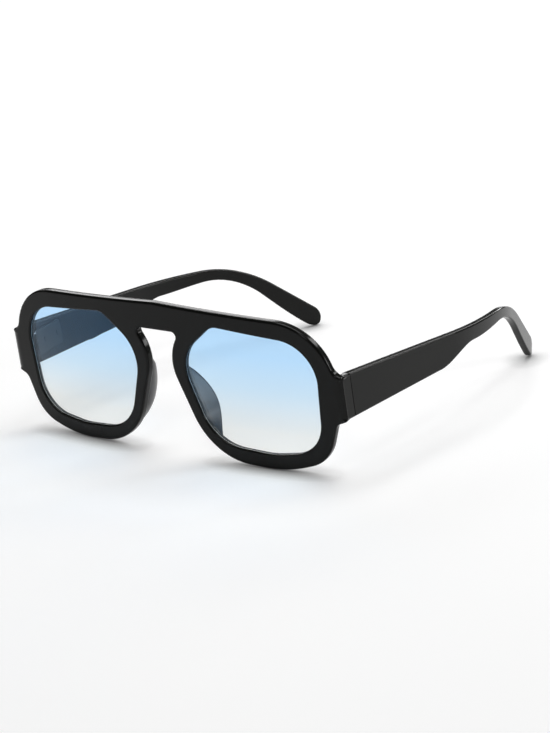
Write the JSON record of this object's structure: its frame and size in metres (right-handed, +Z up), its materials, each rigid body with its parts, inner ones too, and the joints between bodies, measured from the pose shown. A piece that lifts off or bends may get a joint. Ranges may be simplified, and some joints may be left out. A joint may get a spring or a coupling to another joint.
{
  "type": "square sunglasses",
  "caption": "Square full-rim sunglasses with a straight brow, keyhole bridge, wide stepped temples that fold on barrel hinges, and tinted lenses.",
  "frame": {"origin": "middle of the footprint of the open, standing glasses, on the surface that the rims and the temple tips stand on", "axes": "+X to the wearer's left, +Y from the front towards the ears, +Z up; X = 0 is the plane of symmetry"},
  "size_m": [0.1438, 0.15, 0.0551],
  "materials": {
    "frame_black": "polished",
    "lens_tint": "clear, graded from blue to nearly clear",
    "pad_dark": "satin",
    "hinge_black": "satin black",
    "screw_steel": "polished"
  },
  "bodies": {
    "front": {"front_frame": "frame_black", "lens_right": "lens_tint", "lens_left": "lens_tint", "nose_pad_right": "pad_dark", "nose_pad_left": "pad_dark", "front_hinge_leaf_right": "hinge_black", "front_hinge_leaf_left": "hinge_black", "front_leaf_screws_right": "hinge_black", "front_leaf_screws_left": "hinge_black", "hinge_screw_right": "screw_steel", "hinge_screw_left": "screw_steel"},
    "temple_right": {"temple_right": "frame_black", "temple_hinge_leaf_right": "hinge_black", "temple_leaf_screws_right": "hinge_black"},
    "temple_left": {"temple_left": "frame_black", "temple_hinge_leaf_left": "hinge_black", "temple_leaf_screws_left": "hinge_black"}
  },
  "joints": [
    {"name": "temple_left_fold", "type": "hinge", "parent": "front", "child": "temple_left", "pos_m": [0.06725, -0.06096, 0.02808], "axis": [0, -0.0941, 0.9956], "range_deg": [0, 84]},
    {"name": "temple_right_fold", "type": "hinge", "parent": "front", "child": "temple_right", "pos_m": [-0.06725, -0.06096, 0.02808], "axis": [0, 0.0941, -0.9956], "range_deg": [0, 78]}
  ]
}
